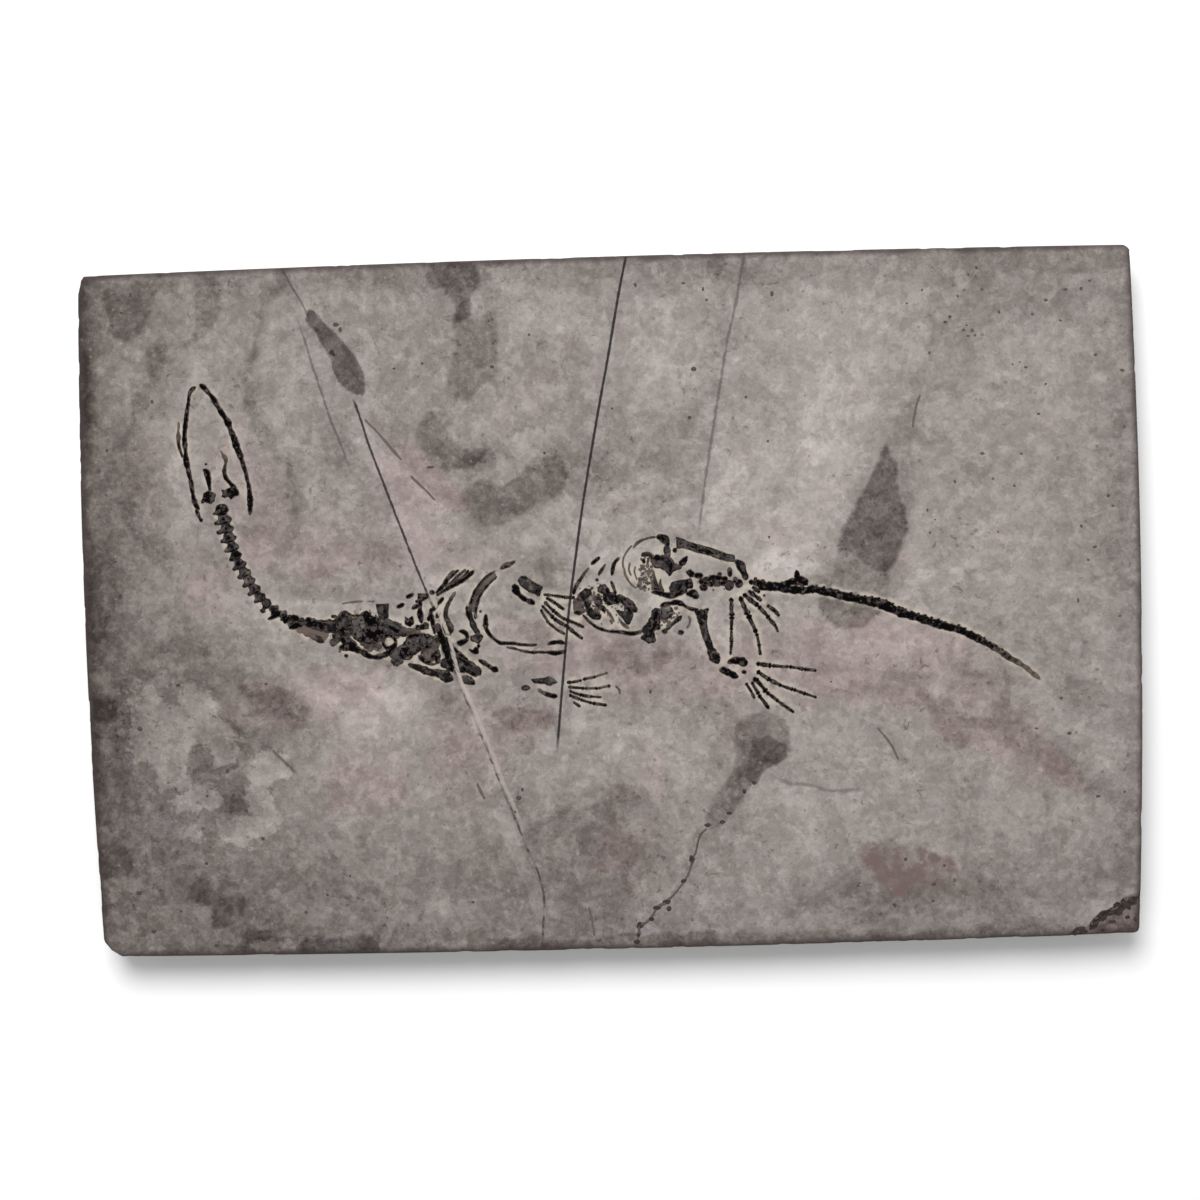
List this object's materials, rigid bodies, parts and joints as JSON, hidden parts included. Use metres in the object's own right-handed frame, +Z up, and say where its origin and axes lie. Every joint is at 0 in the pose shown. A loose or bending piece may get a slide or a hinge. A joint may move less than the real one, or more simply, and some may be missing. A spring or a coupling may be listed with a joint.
{
  "type": "keichousaurus fossil slab",
  "caption": "Thin rectangular limestone slab that lies flat, with the dark flattened skeleton of a small long-necked marine reptile in low relief on its upper face.",
  "frame": {"origin": "middle of the flat underside of the slab", "axes": "+X along the slab, from the skull towards the tip of the tail; +Y across the slab, towards the side that the snout points to; +Z up, out of the face that holds the skeleton"},
  "size_m": [0.2128, 0.1396, 0.0126],
  "materials": {
    "stone": "matte, fine-grained, mottled grey-brown with hairline cracks",
    "bone": "dark brown-black fossil bone, slightly glossy"
  },
  "bodies": {
    "root": {"slab": "stone", "jaw_left": "bone", "jaw_right": "bone", "quadrate_left": "bone", "quadrate_right": "bone", "neck_01": "bone", "neck_02": "bone", "neck_03": "bone", "neck_04": "bone", "neck_05": "bone", "neck_06": "bone", "neck_07": "bone", "neck_08": "bone", "neck_09": "bone", "neck_10": "bone", "neck_11": "bone", "neck_12": "bone", "neck_13": "bone", "neck_14": "bone", "neck_15": "bone", "neck_16": "bone", "shoulder_mass": "bone", "shoulder_block": "bone", "clavicle": "bone", "coracoid": "bone", "scapula": "bone", "humerus_lower": "bone", "humerus_upper": "bone", "rib_01": "bone", "rib_02": "bone", "rib_03": "bone", "rib_04": "bone", "rib_05": "bone", "rib_06": "bone", "rib_07": "bone", "rib_08": "bone", "rib_09": "bone", "rib_10": "bone", "rib_11": "bone", "radius_upper": "bone", "ulna_upper": "bone", "hand_upper": "bone", "radius_lower": "bone", "ulna_lower": "bone", "hand_lower": "bone", "trunk_mass": "bone", "pelvis_arch": "bone", "pelvis_plate": "bone", "pelvis_cup": "bone", "pelvis_bar": "bone", "pelvis_keel": "bone", "sacrum": "bone", "femur_upper": "bone", "shin_upper": "bone", "foot_upper": "bone", "femur_lower": "bone", "tibia_lower": "bone", "fibula_lower": "bone", "foot_lower": "bone", "tail": "bone"}
  },
  "joints": []
}
